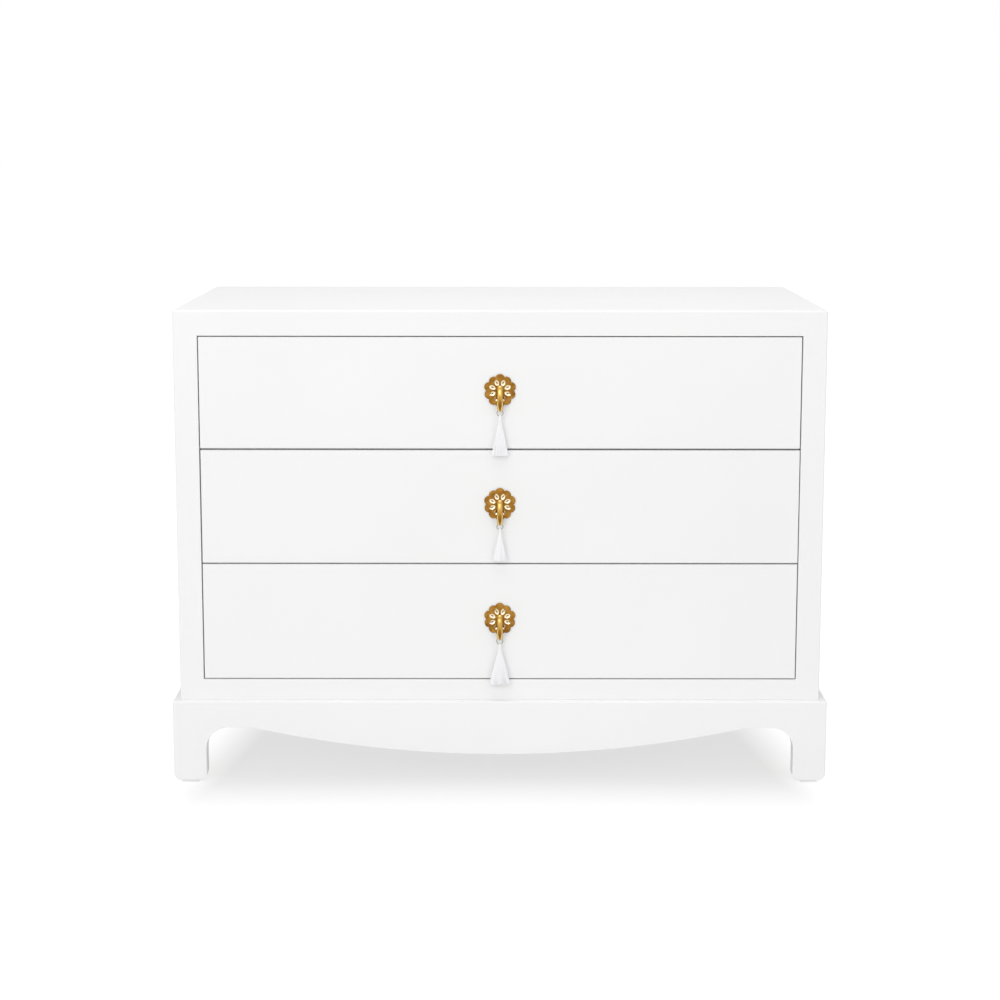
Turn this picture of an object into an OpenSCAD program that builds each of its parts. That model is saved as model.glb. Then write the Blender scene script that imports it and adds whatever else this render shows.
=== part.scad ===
// Three-drawer storage chest: a thick-walled lacquered case on a bracket base, with three inset
// drawers on telescopic slides. Each drawer has one pull: a scalloped plate, a bowed drop on a pin,
// a jump ring and a thread tassel.
// X runs to the right, -Y is the front and +Z is up. The origin is on the floor, under the middle.

/* [Case] */
// Width over the side panels
case_w = 1194; // [900:1:1400]
// Depth from the drawer fronts to the back
case_d = 508; // [440:1:600]
// Thickness of the top panel
top_t = 47; // [30:0.5:60]
// Thickness of each side panel
side_t = 44; // [30:0.5:60]
// Thickness of the bottom panel
bottom_t = 39; // [30:0.5:60]
// Thickness of the back panel
back_t = 6; // [4:0.5:12]
// Width of the rebate that the back panel lies in
rebate_w = 12; // [10:0.5:20]
// Radius along the outer edges of the case and the base
edge_r = 3; // [1:0.5:6]
// Thickness of the two rails between the drawers
divider_t = 18; // [12:0.5:24]
// Front-to-back size of the two rails between the drawers
divider_d = 60; // [40:1:90]

/* [Drawers] */
// Height of the upper drawer front
front_h_1 = 207; // [190:0.5:260]
// Height of the middle drawer front
front_h_2 = 212.5; // [190:0.5:260]
// Height of the lower drawer front
front_h_3 = 218; // [190:0.5:260]
// Gap around each drawer front
front_gap = 2; // [1:0.25:4]
// Thickness of each drawer front
front_t = 20; // [16:0.5:26]
// Thickness of a drawer box's sides and back
box_t = 12; // [10:0.5:16]
// Thickness of a drawer bottom
floor_t = 6; // [4:0.5:9]
// Height of a drawer bottom above the lower edge of the box sides
floor_rise = 12; // [8:0.5:18]
// Depth of the grooves that hold a drawer bottom
groove_d = 6; // [4:0.5:8]
// Depth of the housings that hold the box sides in a drawer front
housing_d = 8; // [5:0.5:12]
// Distance from the lower edge of a front up to its box
box_up = 20; // [15:1:30]
// Distance from the upper edge of a front down to its box
box_down = 25; // [18:1:40]
// Space left behind the drawer boxes
box_back_gap = 30; // [20:1:50]

/* [Slides] */
// Thickness of a closed slide
slide_t = 12.7; // [11:0.1:16]
// Height of the case member of a slide
slide_h = 45; // [35:0.5:55]
// Thickness of the rolled steel
steel_t = 1.2; // [1:0.1:1.5]
// Distance from the lower edge of the box sides to the slide centre
slide_up = 46; // [32:1:60]
// Distance from a drawer front to the slide ends, and from the slide ends to the box back
slide_end = 3; // [1:0.5:8]
// Distance between the edges of the outer channels and the drawer box
channel_gap = 1.5; // [0.5:0.1:3]

/* [Base] */
// Height of the base board above the glides
board_h = 151; // [120:1:200]
// Thickness of the base boards
board_t = 25; // [18:0.5:30]
// Distance that the base stands out from the case in front and at the sides
base_out = 13; // [6:0.5:16]
// Width of each bracket foot
foot_w = 61.5; // [56:0.5:90]
// Radius on the lower corners of the feet
foot_r = 6; // [2:0.5:10]
// Height of the arches over the lower ends of the feet
arch_h = 101; // [85:1:110]
// Radius where a foot curves into its arch
arch_r = 42; // [20:1:60]
// Distance that the front apron hangs below the top of its arch
apron_drop = 51; // [20:1:70]
// Half of the width of the hanging curve in the front apron
apron_half = 461; // [300:1:480]
// Width of the corner blocks
block_w = 30; // [26:1:31]
// Radius of the foot glides
glide_r = 17; // [10:0.5:20]
// Thickness of the foot glides
glide_h = 3; // [2:0.5:6]
// Distance of a glide centre from the outer faces of the base
glide_in = 36; // [28:0.5:37]

/* [Pulls] */
// Height of a plate centre above the middle of its drawer front
plate_up = 5.5; // [0:0.5:15]
// Radius of the plate over its lobes
plate_r = 30.5; // [27:0.5:36]
// Radius of one lobe
lobe_r = 8.8; // [8:0.1:10]
// Thickness of the plate
plate_t = 2.5; // [2:0.1:4]
// Number of lobes
lobes = 10; // [8:1:14]
// Number of petals
petals = 8; // [4:1:8]
// Distance from the plate centre to the inner end of a petal
petal_in = 9.5; // [8:0.5:11]
// Length of a petal
petal_len = 11.4; // [8:0.2:13]
// Width of a petal
petal_w = 7; // [4:0.2:7.6]
// Length of the pierced slot in a petal
slot_len = 6; // [3:0.2:7]
// Width of the pierced slot in a petal
slot_w = 2; // [1:0.1:3]
// Depth of the sunk petals
petal_sink = 1.2; // [0.5:0.1:1.6]
// Height of the pin above the plate centre
pin_up = 6.2; // [4:0.1:7]
// Radius of the pin
pin_r = 1.25; // [1:0.05:1.4]
// Radius of the post through the drawer front
post_r = 2.5; // [2:0.1:3]
// Radius of the collar on the post
collar_r = 4.5; // [4:0.1:6]
// Thickness of the collar on the post
collar_t = 1.2; // [0.8:0.1:2]
// Width of the tongue on the post
tongue_w = 3.6; // [2.5:0.1:5]
// Width of the drop at its knuckle
drop_w = 11.5; // [9:0.1:14]
// Width of the drop at its tip
drop_tip_w = 9; // [7:0.1:11]
// Thickness of the drop
drop_t = 5; // [4:0.1:6]
// Length of the drop from the pin to its tip
drop_len = 42.2; // [34:0.1:50]
// Distance that the drop bows out
drop_bow = 6; // [4:0.1:9]
// Radius of the knuckle around the pin
knuckle_r = 4.6; // [4.4:0.1:5.4]
// Outer radius of the jump ring
ring_r = 6.5; // [5:0.1:9]
// Radius of the jump ring's wire
wire_r = 0.8; // [0.6:0.05:1]
// Thickness of the lip at the drop's tip, in front of the ring
lip_t = 1.5; // [1:0.1:2]
// Width of the eye that carries the ring
eye_w = 3.4; // [2.4:0.1:4]
// Wall around the hole in the eye
eye_wall = 1.1; // [0.8:0.05:1.5]
// Radius of the washer
washer_r = 6; // [5:0.1:8]
// Thickness of the washer
washer_t = 1; // [0.8:0.1:1.6]
// Width of the nut across its corners
nut_w = 9.2; // [8:0.1:12]
// Thickness of the nut
nut_t = 4; // [3:0.1:6]
// Length of the post past the nut
post_end = 1.5; // [0.5:0.1:3]

/* [Tassels] */
// Length of the upper tassel below its ring
tassel_len_1 = 73; // [50:1:90]
// Length of the middle tassel below its ring
tassel_len_2 = 58; // [40:1:75]
// Length of the lower tassel below its ring
tassel_len_3 = 77; // [50:1:90]
// Width of the upper tassel at its hem
tassel_w_1 = 31; // [20:1:40]
// Width of the middle tassel at its hem
tassel_w_2 = 27; // [20:1:40]
// Width of the lower tassel at its hem
tassel_w_3 = 40; // [20:1:44]
// Depth of a tassel from front to back
tassel_d = 11; // [8:0.5:12]
// Radius of the tassel's neck
neck_r = 2.6; // [2.2:0.1:3]
// Length of the tassel's neck
neck_len = 10; // [6:0.5:14]
// Thickness of the thread loop over the ring
loop_t = 1.2; // [0.8:0.1:1.6]

/* [Fasteners] */
// Radius of a back screw
screw_r = 1.8; // [1.4:0.1:2.2]
// Radius of the countersunk head of a back screw
head_r = 3.4; // [3:0.1:4]
// Height of the countersunk head of a back screw
head_h = 2; // [1.5:0.1:3]
// Length of a back screw
screw_len = 22; // [14:1:30]
// Number of back screws along each edge
screws = 4; // [2:1:8]

/* [Clearances] */
// Free fit, between pieces that move past each other
free_fit = 0.3; // [0.2:0.05:0.4]
// More room in the eye, because the ring's wire curves through it
curve_fit = 0.2; // [0.15:0.05:0.4]
// Running fit of a pin, on the radius
pin_fit = 0.05; // [0.03:0.01:0.09]
// Loose fit of a panel in its groove and of a post in its hole
loose_fit = 0.2; // [0.1:0.05:0.3]
// Distance of the rails behind the drawer fronts
rail_fit = 1.5; // [1:0.1:3]

/* [Hidden] */
$fn = 96;
cut = 1;
nut_sides = 6;
front_h = [front_h_1, front_h_2, front_h_3];
tassel_len = [tassel_len_1, tassel_len_2, tassel_len_3];
tassel_w = [tassel_w_1, tassel_w_2, tassel_w_3];
lowest = len(front_h) - 1;

// Levels and widths of the case
base_top = glide_h + board_h;
open_bottom = base_top + bottom_t;
open_w = case_w - 2 * side_t;
front_w = open_w - 2 * front_gap;
function front_bottom(i) = i == lowest
    ? open_bottom + front_gap
    : front_bottom(i + 1) + front_h[i + 1] + front_gap;
function front_top(i) = front_bottom(i) + front_h[i];
open_top = front_top(0) + front_gap;
case_top = open_top + top_t;

// Pull, measured outward from the drawer face and upward from the plate centre
pin_out = plate_t + collar_t + free_fit + knuckle_r;
tongue_r = knuckle_r - collar_t - free_fit;
fork_r = tongue_r + free_fit;
fork_w = tongue_w + 2 * free_fit;
tip_up = pin_up - drop_len;
bow_up = (pin_up + tip_up) / 2;
bow_r = (pow(drop_len / 2, 2) + pow(drop_bow, 2)) / (2 * drop_bow);
bow_out = pin_out + drop_bow - bow_r;
lip_out = bow_out + sqrt(pow(bow_r + drop_t / 2, 2) - pow(drop_len / 2, 2));
hang_out = lip_out - lip_t - free_fit - wire_r;
eye_hole_r = wire_r + free_fit + curve_fit;
eye_r = eye_hole_r + eye_wall;
eye_up = tip_up + eye_hole_r;
ring_mean_r = ring_r - wire_r;
ring_up = eye_up - ring_mean_r;
ring_bottom = ring_up - ring_r;
loop_up = ring_up - ring_mean_r;
pull_out = max(bow_out + bow_r + drop_t / 2, pin_out + knuckle_r, hang_out + tassel_d / 2);

// Front-to-back places, with the whole object centred on the origin
front_y = (max(pull_out, base_out) - case_d) / 2;
back_y = front_y + case_d;
box_front = front_y + front_t;
box_rear = back_y - back_t - box_back_gap;
slide_front = box_front + slide_end;
slide_rear = box_rear - slide_end;
rail_front = box_front + rail_fit;

// Drawer boxes
box_w = open_w - 2 * slide_t;
function box_bottom(i) = front_bottom(i) + box_up;
function box_top(i) = front_top(i) - box_down;
function pull_up(i) = front_bottom(i) + front_h[i] / 2 + plate_up;
function slide_level(i) = box_bottom(i) + slide_up;

// Base
base_w = case_w + 2 * base_out;
base_front_y = front_y - base_out;
base_d = back_y - base_front_y;
base_mid_y = (base_front_y + back_y) / 2;
front_half = base_w / 2 - foot_w;
side_half = base_d / 2 - foot_w;
apron_r = (pow(apron_half, 2) + pow(apron_drop, 2)) / (2 * apron_drop);

white = "WhiteSmoke";
raw_wood = "BurlyWood";
brass = "Goldenrod";
steel = "LightSteelBlue";

// A box between two corners
module block(low, high) {
    translate(low)
        cube(high - low);
}

// Turns a drawing of Y and Z into a solid along X, centred
module along_x(w) {
    rotate([90, 0, 90])
        linear_extrude(w, center = true)
            children();
}

// Turns a drawing of X and Z into a solid that runs from y = 0 to the front
module along_y(d) {
    rotate([90, 0, 0])
        linear_extrude(d)
            children();
}

// A rectangle from (0, 0) whose far corners are round, for use on one side or both
module round_top(w, h, left, right) {
    square([w, h - edge_r]);
    translate([left ? edge_r : 0, 0])
        square([w - (left ? edge_r : 0) - (right ? edge_r : 0), h]);
    if (left)
        translate([edge_r, h - edge_r])
            circle(r = edge_r);
    if (right)
        translate([w - edge_r, h - edge_r])
            circle(r = edge_r);
}

// A block on the centre line whose top, front and side edges are round, with a square back
module eased_block(w, d, h) {
    intersection() {
        translate([-w / 2, d, 0])
            along_y(d)
                round_top(w, h, true, true);
        along_x(w)
            round_top(d, h, true, false);
        linear_extrude(h)
            mirror([0, 1])
                translate([-w / 2, -d])
                    round_top(w, d, true, true);
    }
}

// Holes and screws around the back panel
module at_back_screws() {
    reach_x = open_w / 2 + rebate_w / 2;
    low = open_bottom - rebate_w / 2;
    high = open_top + rebate_w / 2;
    for (i = [0 : screws - 1]) {
        part = (i + 0.5) / screws;
        for (side = [-1, 1])
            translate([side * reach_x, back_y, low + part * (high - low)])
                children();
        for (level = [low, high])
            translate([-reach_x + part * 2 * reach_x, back_y, level])
                children();
    }
}

module back_screw() {
    rotate([90, 0, 0]) {
        cylinder(r = screw_r, h = screw_len);
        cylinder(r1 = head_r, r2 = screw_r, h = head_h);
    }
}

module back_recess() {
    x = open_w / 2 + rebate_w;
    block([-x, back_y - back_t, open_bottom - rebate_w], [x, back_y, open_top + rebate_w]);
}

module back_cuts() {
    back_recess();
    at_back_screws()
        back_screw();
}

module top_panel() {
    color(white)
        difference() {
            translate([0, front_y, open_top])
                eased_block(case_w, case_d, top_t);
            back_cuts();
        }
}

// The right side panel; the left one is its mirror image
module right_side() {
    color(white)
        difference() {
            translate([open_w / 2, front_y, base_top])
                linear_extrude(open_top - base_top)
                    translate([0, case_d])
                        mirror([0, 1])
                            round_top(side_t, case_d, false, true);
            back_cuts();
        }
}

module side_panel_left() {
    mirror([1, 0, 0])
        right_side();
}

module side_panel_right() {
    right_side();
}

module bottom_panel() {
    color(white)
        difference() {
            block([-open_w / 2, front_y, base_top], [open_w / 2, back_y, open_bottom]);
            back_cuts();
        }
}

module back_panel() {
    color(raw_wood)
        difference() {
            back_recess();
            at_back_screws()
                back_screw();
        }
}

module back_screws() {
    color(steel)
        at_back_screws()
            back_screw();
}

// The rail behind the gap under drawer i
module divider(i) {
    middle = front_bottom(i) - front_gap / 2;
    color(white)
        block([-open_w / 2, rail_front, middle - divider_t / 2],
              [open_w / 2, rail_front + divider_d, middle + divider_t / 2]);
}

// One member of the right slide: a channel from its web to its lips
module channel(level, web, lips, half_h) {
    near = min(web, lips);
    far = max(web, lips);
    inner = web < lips ? [web + steel_t, far + cut] : [near - cut, web - steel_t];
    difference() {
        block([near, slide_front, level - half_h], [far, slide_rear, level + half_h]);
        block([inner[0], slide_front - cut, level - half_h + steel_t],
              [inner[1], slide_rear + cut, level + half_h - steel_t]);
    }
}

module slide_pair() {
    color(steel)
        for (side = [0, 1])
            mirror([side, 0, 0])
                children();
}

middle_half_h = slide_h / 2 - steel_t - free_fit;
drawer_half_h = middle_half_h - steel_t - free_fit;
middle_web = open_w / 2 - steel_t - free_fit;

module case_slides(i) {
    slide_pair()
        channel(slide_level(i), open_w / 2, box_w / 2 + channel_gap, slide_h / 2);
}

module middle_slides(i) {
    slide_pair()
        channel(slide_level(i), middle_web, box_w / 2 + channel_gap, middle_half_h);
}

module drawer_slides(i) {
    slide_pair()
        channel(slide_level(i), box_w / 2, middle_web - steel_t - free_fit, drawer_half_h);
}

// Pieces of the base
module base_outline() {
    translate([0, base_front_y, 0])
        eased_block(base_w, base_d, base_top);
}

// The opening between two feet, drawn from the floor, with half its width given
module arch(half) {
    top = glide_h + arch_h;
    round_x = half - arch_r;
    translate([-half, -cut])
        square([2 * half, top - arch_r + cut]);
    translate([-round_x, -cut])
        square([2 * round_x, top + cut]);
    for (side = [-1, 1])
        translate([side * round_x, top - arch_r])
            circle(r = arch_r);
}

// Cuts a board off at the glides and rounds the lower corners of its feet
module foot_corners(half, outer) {
    difference() {
        translate([-outer - cut, -cut])
            square([2 * (outer + cut), glide_h + foot_r + cut]);
        for (side = [-1, 1]) {
            middle = side * (half + outer) / 2;
            width = outer - half - 2 * foot_r;
            translate([middle - width / 2, glide_h])
                square([width, foot_r + cut]);
            for (end = [-1, 1])
                translate([middle + end * width / 2, glide_h + foot_r])
                    circle(r = foot_r);
        }
    }
}

module front_cut() {
    difference() {
        arch(front_half);
        translate([0, glide_h + arch_h - apron_drop + apron_r])
            circle(r = apron_r, $fn = 720);
    }
    foot_corners(front_half, base_w / 2);
}

module side_cut() {
    arch(side_half);
    foot_corners(side_half, base_d / 2);
}

// The front board, with its ends mitred
module base_front() {
    inner_w = base_w / 2 - board_t;
    color(white)
        difference() {
            intersection() {
                base_outline();
                translate([0, base_front_y, 0])
                    linear_extrude(base_top)
                        polygon([
                            [-base_w / 2, 0],
                            [base_w / 2, 0],
                            [inner_w, board_t],
                            [-inner_w, board_t]
                        ]);
            }
            translate([0, base_front_y + board_t + cut, 0])
                along_y(board_t + 2 * cut)
                    front_cut();
        }
}

// The right side board, mitred in front and square at the back
module right_board() {
    inner_w = base_w / 2 - board_t;
    color(white)
        difference() {
            intersection() {
                base_outline();
                translate([0, base_front_y, 0])
                    linear_extrude(base_top)
                        polygon([
                            [base_w / 2, 0],
                            [base_w / 2, base_d],
                            [inner_w, base_d],
                            [inner_w, board_t]
                        ]);
            }
            translate([base_w / 2, base_mid_y, 0])
                along_x(2 * board_t + 2 * cut)
                    side_cut();
        }
}

module base_left() {
    mirror([1, 0, 0])
        right_board();
}

module base_right() {
    right_board();
}

module base_back() {
    inner_w = base_w / 2 - board_t;
    color(raw_wood)
        difference() {
            block([-inner_w, back_y - board_t, glide_h], [inner_w, back_y, base_top]);
            translate([0, back_y + cut, 0])
                along_y(board_t + 2 * cut) {
                    arch(front_half);
                }
        }
}

// Puts its children at the four corners, drawn for the front right one
module at_corners() {
    for (side = [0, 1])
        mirror([side, 0, 0]) {
            translate([base_w / 2, base_front_y, 0])
                children();
            translate([base_w / 2, back_y, 0])
                mirror([0, 1, 0])
                    children();
        }
}

module corner_blocks() {
    color(raw_wood)
        at_corners()
            block([-board_t - block_w, board_t, glide_h], [-board_t, board_t + block_w, base_top]);
}

module glides() {
    color("Silver")
        at_corners()
            translate([-glide_in, glide_in, 0])
                cylinder(r = glide_r, h = glide_h);
}

// Pieces of a drawer box
module groove(i) {
    level = box_bottom(i) + floor_rise;
    x = box_w / 2 - box_t + groove_d;
    block([-x, box_front - groove_d, level - loose_fit],
          [x, box_rear + cut, level + floor_t + loose_fit]);
}

module drawer_front(i) {
    color(white)
        difference() {
            block([-front_w / 2, front_y, front_bottom(i)], [front_w / 2, box_front, front_top(i)]);
            for (side = [0, 1])
                mirror([side, 0, 0])
                    block([box_w / 2 - box_t, box_front - housing_d, box_bottom(i)],
                          [box_w / 2, box_front + cut, box_top(i)]);
            groove(i);
            translate([0, box_front + cut, pull_up(i) + pin_up])
                rotate([90, 0, 0])
                    cylinder(r = post_r + loose_fit, h = front_t + 2 * cut);
        }
}

module box_side(i, side) {
    color(raw_wood)
        difference() {
            mirror([side, 0, 0])
                block([box_w / 2 - box_t, box_front - housing_d, box_bottom(i)],
                      [box_w / 2, box_rear, box_top(i)]);
            groove(i);
        }
}

module box_back(i) {
    x = box_w / 2 - box_t;
    color(raw_wood)
        block([-x, box_rear - box_t, box_bottom(i) + floor_rise + floor_t], [x, box_rear, box_top(i)]);
}

module box_floor(i) {
    level = box_bottom(i) + floor_rise;
    x = box_w / 2 - box_t + groove_d - loose_fit;
    color(raw_wood)
        block([-x, box_front - groove_d + loose_fit, level], [x, box_rear, level + floor_t]);
}

// Pieces of a pull, drawn around the plate centre on the drawer face
module at_pull(i) {
    translate([0, front_y, pull_up(i)])
        children();
}

// A shape with two curved sides that meet at points, lying along the drawing's Y
module leaf(length, width) {
    r = (pow(length / 2, 2) + pow(width / 2, 2)) / width;
    intersection() {
        translate([r - width / 2, 0])
            circle(r = r);
        translate([width / 2 - r, 0])
            circle(r = r);
    }
}

module at_petals() {
    for (i = [0 : petals - 1])
        rotate((i + 0.5) * 360 / petals)
            translate([0, petal_in + petal_len / 2])
                children();
}

module pull_plate(i) {
    color(brass)
        at_pull(i)
            difference() {
                along_y(plate_t)
                    union() {
                        circle(r = plate_r - lobe_r);
                        for (k = [0 : lobes - 1])
                            rotate(k * 360 / lobes)
                                translate([0, plate_r - lobe_r])
                                    circle(r = lobe_r);
                    }
                translate([0, petal_sink - plate_t, 0])
                    along_y(petal_sink + cut)
                        at_petals()
                            leaf(petal_len, petal_w);
                translate([0, cut, 0])
                    along_y(plate_t + 2 * cut) {
                        at_petals()
                            leaf(slot_len, slot_w);
                        translate([0, pin_up])
                            circle(r = post_r + loose_fit);
                    }
            }
}

module pull_post(i) {
    tail = front_t + washer_t + nut_t + post_end;
    color(brass)
        at_pull(i)
            difference() {
                union() {
                    translate([0, tail, pin_up])
                        rotate([90, 0, 0])
                            cylinder(r = post_r, h = tail + plate_t);
                    translate([0, -plate_t, pin_up])
                        rotate([90, 0, 0])
                            cylinder(r = collar_r, h = collar_t);
                    along_x(tongue_w) {
                        translate([-pin_out, pin_up])
                            circle(r = tongue_r);
                        translate([-pin_out, pin_up - tongue_r])
                            square([pin_out - plate_t - collar_t / 2, 2 * tongue_r]);
                    }
                }
                along_x(drop_w + 2 * cut)
                    translate([-pin_out, pin_up])
                        circle(r = pin_r + pin_fit);
            }
}

module pull_nut(i) {
    color(steel)
        at_pull(i)
            translate([0, front_t, pin_up])
                rotate([-90, 0, 0])
                    difference() {
                        union() {
                            cylinder(r = washer_r, h = washer_t);
                            translate([0, 0, washer_t])
                                cylinder(r = nut_w / 2, h = nut_t, $fn = nut_sides);
                        }
                        translate([0, 0, -cut])
                            cylinder(r = post_r, h = washer_t + nut_t + 2 * cut);
                    }
}

module pull_pin(i) {
    color(brass)
        at_pull(i)
            along_x(drop_w - 2 * loose_fit)
                translate([-pin_out, pin_up])
                    circle(r = pin_r);
}

// Side view of the drop: a bowed bar under its knuckle
module drop_profile() {
    translate([-pin_out, pin_up])
        circle(r = knuckle_r);
    intersection() {
        translate([-bow_out, bow_up])
            difference() {
                circle(r = bow_r + drop_t / 2, $fn = 2 * $fn);
                circle(r = bow_r - drop_t / 2, $fn = 2 * $fn);
            }
        translate([-bow_out - bow_r - drop_t, tip_up])
            square([bow_r, drop_len]);
    }
}

// Front view of the drop, which narrows to its tip
module drop_face() {
    polygon([
        [-drop_w / 2, pin_up + knuckle_r + cut],
        [drop_w / 2, pin_up + knuckle_r + cut],
        [drop_w / 2, pin_up],
        [drop_tip_w / 2, tip_up],
        [-drop_tip_w / 2, tip_up],
        [-drop_w / 2, pin_up]
    ]);
}

// The slot that takes the tongue, open behind and above, so that the drop can lift
module fork_cut() {
    along_x(fork_w) {
        translate([-pin_out, pin_up])
            circle(r = fork_r);
        translate([-pin_out - fork_r, pin_up])
            square([fork_r + knuckle_r + cut, knuckle_r + cut]);
        translate([-pin_out, pin_up - fork_r])
            square([knuckle_r + cut, fork_r + cut]);
    }
}

module pull_drop(i) {
    color(brass)
        at_pull(i)
            difference() {
                union() {
                    difference() {
                        intersection() {
                            along_x(drop_w)
                                drop_profile();
                            along_y(pull_out + cut)
                                drop_face();
                        }
                        // Room for the ring, behind the lip at the tip
                        block([-drop_w, -hang_out - wire_r - free_fit, tip_up - cut],
                              [drop_w, 0, eye_up + wire_r + free_fit]);
                    }
                    along_x(eye_w) {
                        translate([-hang_out, eye_up])
                            circle(r = eye_r);
                        translate([-hang_out - wire_r - free_fit - lip_t / 2, eye_up])
                            square([eye_r + wire_r + free_fit + lip_t / 2, eye_r]);
                    }
                }
                fork_cut();
                along_x(drop_w + 2 * cut)
                    translate([-pin_out, pin_up])
                        circle(r = pin_r);
                along_x(eye_w + 2 * cut)
                    translate([-hang_out, eye_up])
                        circle(r = eye_hole_r);
            }
}

module ring_shape(section_r) {
    translate([0, -hang_out, ring_up])
        rotate([90, 0, 0])
            rotate_extrude()
                translate([ring_mean_r, 0])
                    circle(r = section_r, $fn = 24);
}

module pull_ring(i) {
    color("Silver")
        at_pull(i)
            ring_shape(wire_r);
}

module tassel(i) {
    head_top = loop_up + wire_r + free_fit + loop_t;
    neck_bottom = ring_bottom - neck_len;
    hem = ring_bottom - tassel_len[i];
    color("White")
        at_pull(i)
            difference() {
                translate([0, -hang_out, 0])
                    union() {
                        translate([0, 0, neck_bottom])
                            cylinder(r = neck_r, h = head_top - neck_bottom);
                        intersection() {
                            translate([0, 0, hem])
                                cylinder(r1 = tassel_w[i] / 2, r2 = neck_r, h = neck_bottom - hem);
                            block([-tassel_w[i], -tassel_d / 2, hem], [tassel_w[i], tassel_d / 2, neck_bottom]);
                        }
                    }
                ring_shape(wire_r + free_fit);
            }
}

top_panel();
side_panel_left();
side_panel_right();
bottom_panel();
back_panel();
back_screws();
divider(0);  // divider_upper
divider(1);  // divider_lower
base_front();
base_left();
base_right();
base_back();
corner_blocks();
glides();
for (i = [0 : lowest]) {
    n = str(i + 1);
    case_slides(i);
    middle_slides(i);
    drawer_slides(i);
    drawer_front(i);
    box_side(i, 1);
    box_side(i, 0);
    box_back(i);
    box_floor(i);
    pull_plate(i);
    pull_post(i);
    pull_nut(i);
    pull_pin(i);
    pull_drop(i);
    pull_ring(i);
    tassel(i);
}
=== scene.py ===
import random
from math import acos, asin, copysign, cos, degrees, exp, pi, radians, sin, sqrt

import bmesh
import bpy
from mathutils import Matrix, Vector


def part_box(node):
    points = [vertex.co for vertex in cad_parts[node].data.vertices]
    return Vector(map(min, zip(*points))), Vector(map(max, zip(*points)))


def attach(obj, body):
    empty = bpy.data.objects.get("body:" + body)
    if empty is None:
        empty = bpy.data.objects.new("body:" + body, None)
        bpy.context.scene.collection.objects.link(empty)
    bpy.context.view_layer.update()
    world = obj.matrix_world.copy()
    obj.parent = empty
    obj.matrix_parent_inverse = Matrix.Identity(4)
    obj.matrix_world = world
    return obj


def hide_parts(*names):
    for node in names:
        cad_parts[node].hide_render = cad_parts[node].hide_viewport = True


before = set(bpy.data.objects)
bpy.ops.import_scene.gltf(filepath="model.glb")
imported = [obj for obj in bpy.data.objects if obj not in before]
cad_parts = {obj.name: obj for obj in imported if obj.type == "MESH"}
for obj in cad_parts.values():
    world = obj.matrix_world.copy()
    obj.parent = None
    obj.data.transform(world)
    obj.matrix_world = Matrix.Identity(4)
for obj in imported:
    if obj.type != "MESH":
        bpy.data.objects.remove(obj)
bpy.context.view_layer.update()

MM = 0.001
CUT = 4 * MM  # how far a cutter reaches past what it cuts
SHARP = 30  # edges at a larger angle, in degrees, stay crisp
WELD = 2e-6  # points closer than this are one

# Camera, at the photograph's viewing angle: its place, how far it looks down and leans in degrees,
# and its lens and sensor in millimetres
CAM_AT = (-0.0023, -3.4498, 1.2026)
CAM_DOWN = 7.257
CAM_ROLL = 0.042
CAM_LENS = 63.71
CAM_SENSOR = 36
CAM_SHIFT = (0.00122, -0.14)

# Light: the even light on the chest, and each lamp's place, aim, size and power
AMBIENT = 0.55
LAMPS = {
    "key": ((-3.1, -4.5, 2.6), (0, -0.2, 0.6), (2.0, 4.6), 52),
    "front": ((-1.1, -6.5, 4.3), (0, -0.2, 0.6), (3.0, 3.0), 76),
    "fill": ((3.4, -4.6, 2.4), (0, -0.2, 0.6), (5.0, 4.0), 36),
    "over": ((0, -0.8, 3.4), (0, -0.1, 0.8), (2.6, 2.2), 30),
}

# Floor
FLOOR_SIZE = 60.0
FLOOR_PAINT = (0.86, 0.86, 0.86, 1)  # met by bounced light
FLOOR_THIN = (0.17, 0.17, 0.17, 1)  # shows the lamps' shadows
# The glow is painted shade: weaker under the chest and beside the feet, full away from them
FLOOR_GLOW = (0.69, 0.935)  # under the chest and away from it
FLOOR_REACH = 0.21  # from one to the other, and FLOOR_SIDE times less at the sides
FLOOR_SIDE = 2.2
SHADE_X = 0.475  # half the width of the shade, which narrows by SHADE_SLANT towards the rear
SHADE_SLANT = 0.18
FOOT_SHADE = 0.8  # the share of the glow that is left close to a foot
FOOT_SHADE_HALF = (0.0145, 0.0285)
FOOT_SHADE_REACH = 0.004

# Levels and faces of the chest, read from the parts in model.glb
FRONT_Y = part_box("drawer_front_1")[0].y
BACK_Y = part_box("back_panel")[1].y
CASE_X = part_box("top_panel")[1].x
CASE_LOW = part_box("bottom_panel")[0].z
CASE_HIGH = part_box("top_panel")[1].z
OPEN_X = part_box("bottom_panel")[1].x
OPEN_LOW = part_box("bottom_panel")[1].z
OPEN_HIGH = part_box("side_panel_right")[1].z
REBATE_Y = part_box("back_panel")[0].y
REBATE_W = 12 * MM
PAINT_TURN = 4 * MM  # how far the lacquer turns in from the front

# Base
BASE_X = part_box("base_right")[1].x
BASE_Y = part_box("base_front")[0].y
BASE_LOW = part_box("base_front")[0].z
BOARD = 25 * MM
FOOT_W = 61.5 * MM
FOOT_R = 12 * MM
ARCH_TOP = 104 * MM
ARCH_R = 42 * MM
APRON_HALF = 461 * MM
APRON_DROP = 51 * MM

# Drawers. How each front was fitted, in millimetres: hung to the right, the radius of its upper
# and lower face edge, and what was planed off above and below.
FRONTS = {1: (0.0, 1.0, 2.4, 0.0, 0.45), 2: (0.3, 0.5, 1.7, 0.45, 0.25),
          3: (0.1, 0.5, 1.2, 0.25, 0.15)}
BOTTOM_PLAY = 0.2  # of a box bottom in its groove
SLIDE_T = 1.2 * MM

# Pulls, in millimetres outward from the drawer face and upward from the plate's centre
PLATE_R = 30.5
LOBE_R = 8.8
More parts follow.
